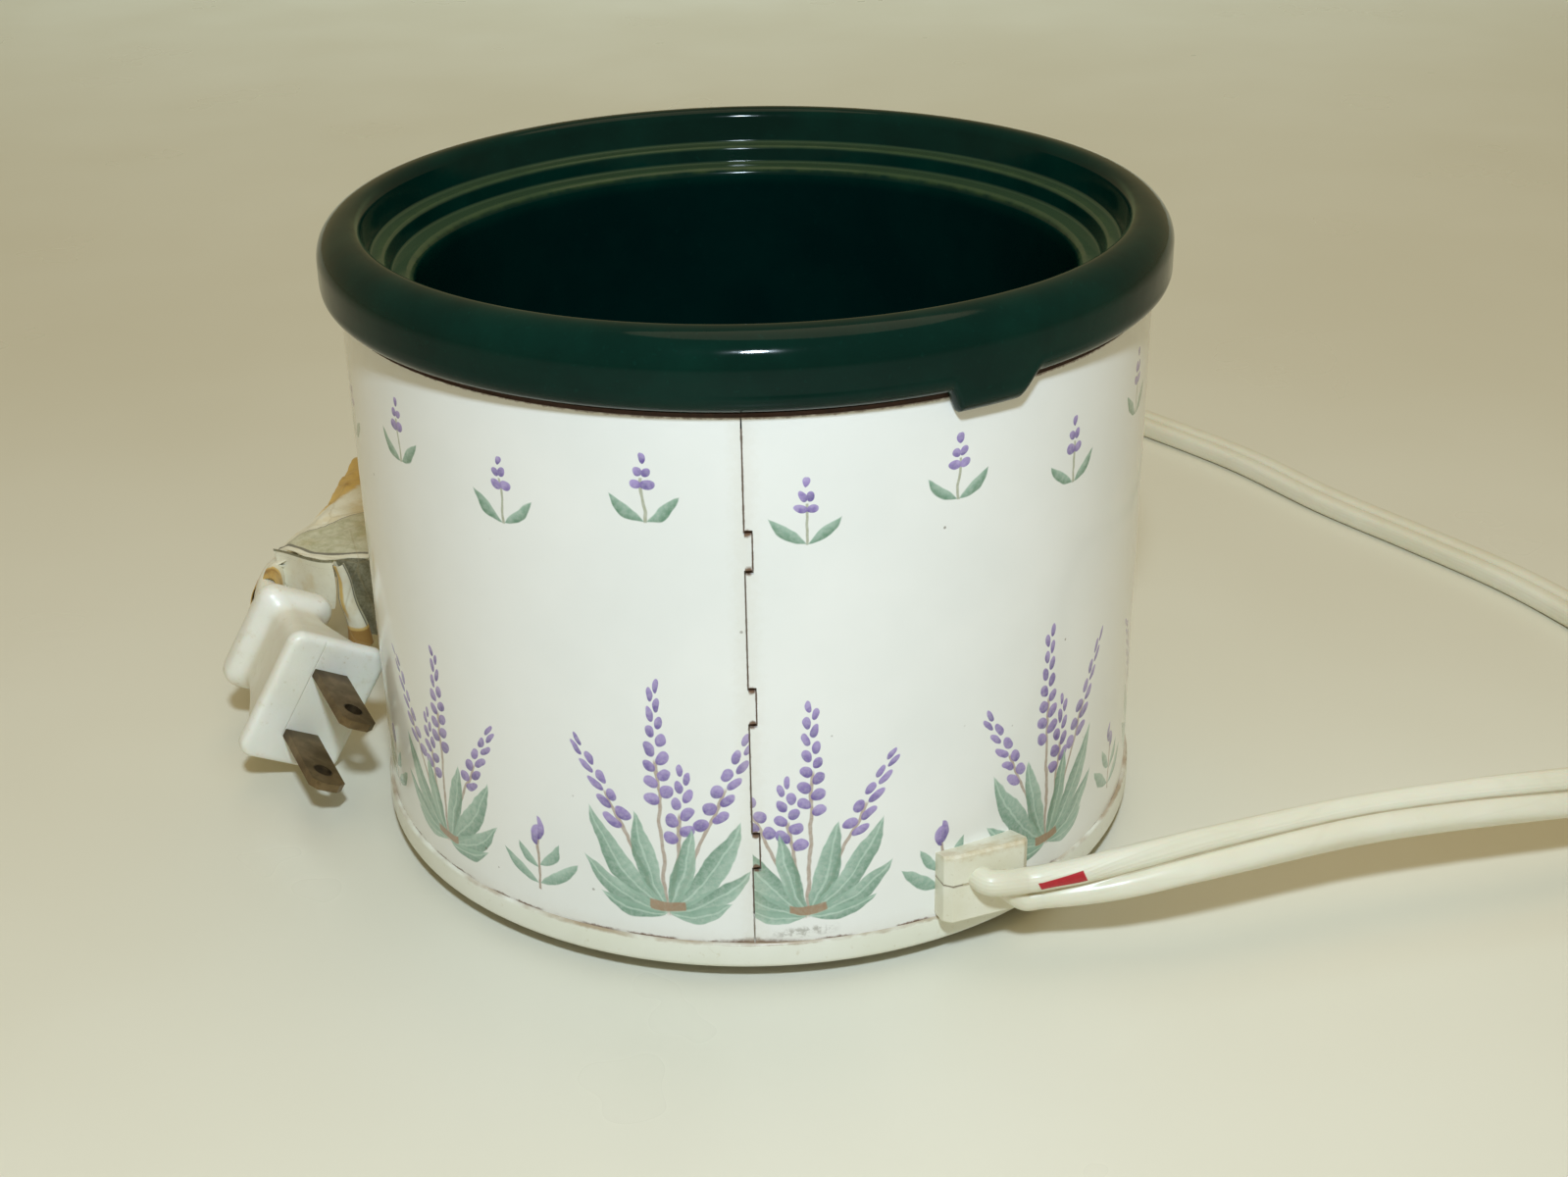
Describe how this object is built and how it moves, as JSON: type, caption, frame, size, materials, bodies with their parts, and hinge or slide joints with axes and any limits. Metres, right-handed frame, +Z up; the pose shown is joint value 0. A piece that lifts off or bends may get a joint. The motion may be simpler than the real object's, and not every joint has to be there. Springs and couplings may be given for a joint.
{
  "type": "wax warmer pot",
  "caption": "Small electric warmer pot: a lift-out glazed stoneware crock in a round sheet-steel heater base with a plastic foot ring, strain relief, flat lead and mains plug.",
  "frame": {"origin": "on the table under the middle of the pot: bottom centre of the pot without its lead and plug", "axes": "+Z up, along the pot's axis; -Y is the front, where the sleeve's seam is; +X is to the right seen from the front"},
  "size_m": [0.279, 0.2546, 0.105],
  "materials": {
    "crock_glaze": "deep blue-green gloss glaze over stoneware",
    "sleeve_enamel": "white gloss printed steel, a little rust at the cut edges",
    "well_aluminium": "spun, dull",
    "bright_steel": "plated sheet",
    "fastener_steel": "zinc plated",
    "ring_plastic": "moulded, satin cream",
    "foot_rubber": "moulded",
    "mica": "pressed mica sheet",
    "ribbon_alloy": "oxidised resistance ribbon",
    "fuse_case": "plain metal case",
    "live_sleeving": "woven glass sleeving",
    "neutral_sleeving": "woven glass sleeving",
    "crimp_nylon": "nylon",
    "cord_vinyl": "soft ivory vinyl",
    "bushing_plastic": "moulded, aged cream",
    "plug_vinyl": "moulded off-white vinyl",
    "blade_brass": "plated brass, darkly tarnished",
    "tag_paper": "blank, creased and stained"
  },
  "bodies": {
    "heater_base": {"outer_sleeve": "sleeve_enamel", "heating_well": "well_aluminium", "well_bracket": "bright_steel", "tie_bolt": "fastener_steel", "spacer_tube": "bright_steel", "heat_shield": "bright_steel", "tie_washer": "fastener_steel", "tie_nut": "fastener_steel", "base_ring": "ring_plastic", "base_plate": "bright_steel", "feet": "foot_rubber", "heater_core": "mica", "heater_ribbon": "ribbon_alloy", "heater_cover": "mica", "heater_strap": "bright_steel", "strap_bolt": "fastener_steel", "strap_nut": "fastener_steel", "thermal_fuse": "fuse_case", "fuse_clip": "bright_steel", "live_lead": "live_sleeving", "neutral_lead": "neutral_sleeving", "crimp_connectors": "crimp_nylon", "cord_tails": "cord_vinyl", "bushing_upper": "bushing_plastic", "bushing_lower": "bushing_plastic", "cord_elbow": "cord_vinyl", "cord": "cord_vinyl", "cord_tag": "tag_paper", "plug_body": "plug_vinyl", "plug_blades": "blade_brass"},
    "crock": {"crock": "crock_glaze"}
  },
  "joints": [
    {"name": "crock_lift", "type": "slide", "parent": "heater_base", "child": "crock", "axis": [0, 0, 1], "range_m": [0, 0.09]}
  ]
}
